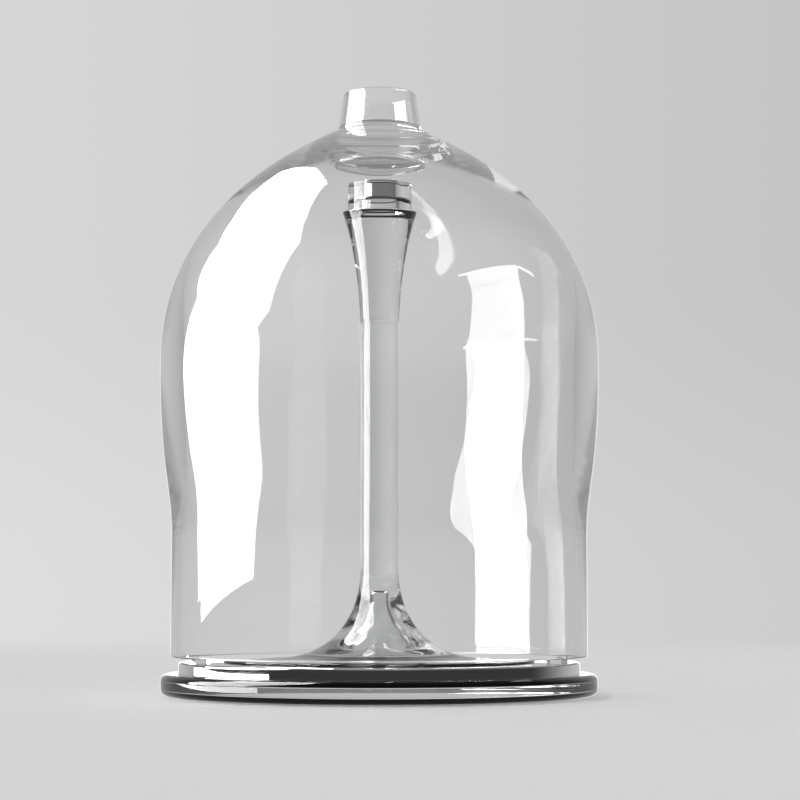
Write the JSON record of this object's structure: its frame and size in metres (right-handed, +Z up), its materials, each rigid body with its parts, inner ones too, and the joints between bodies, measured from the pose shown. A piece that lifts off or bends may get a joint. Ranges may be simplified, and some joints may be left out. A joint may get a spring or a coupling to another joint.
{
  "type": "glass bell with stemmed cup",
  "caption": "Clear glass bell with a hollow knob over a stepped round base, where a flared glass stem holds a small cup with a metal liner.",
  "frame": {"origin": "centre of the base, on the surface that the pads stand on", "axes": "+Z up along the stem, which every piece is turned about; +X to the right and +Y away from a viewer in front"},
  "size_m": [0.1988, 0.1988, 0.2752],
  "materials": {
    "bell_glass": "clear blown glass, fire-polished",
    "stem_glass": "clear solid glass, polished",
    "cup_glass": "clear solid glass, polished",
    "base_glass": "clear pressed glass, polished edge",
    "polished_metal": "mirror-polished metal",
    "clear_rubber": "clear silicone, smooth"
  },
  "bodies": {
    "base": {"foot_pads": "clear_rubber", "base_plate": "base_glass", "base_disc": "polished_metal", "rim_pads": "clear_rubber", "stem": "stem_glass", "stem_ring": "stem_glass", "collar": "stem_glass"},
    "cup": {"cup_base": "cup_glass", "cup_plate": "polished_metal", "cup_ring": "cup_glass"},
    "liner": {"cup_liner": "polished_metal"},
    "bell": {"bell_shell": "bell_glass", "crown_lens": "bell_glass", "knob": "bell_glass"}
  },
  "joints": [
    {"name": "bell_lift", "type": "slide", "parent": "base", "child": "bell", "axis": [0, 0, 1], "range_m": [0, 0.225]},
    {"name": "cup_lift", "type": "slide", "parent": "base", "child": "cup", "axis": [0, 0, 1], "range_m": [0, 0.0035]},
    {"name": "liner_lift", "type": "slide", "parent": "cup", "child": "liner", "axis": [0, 0, 1], "range_m": [0, 0.002]}
  ]
}
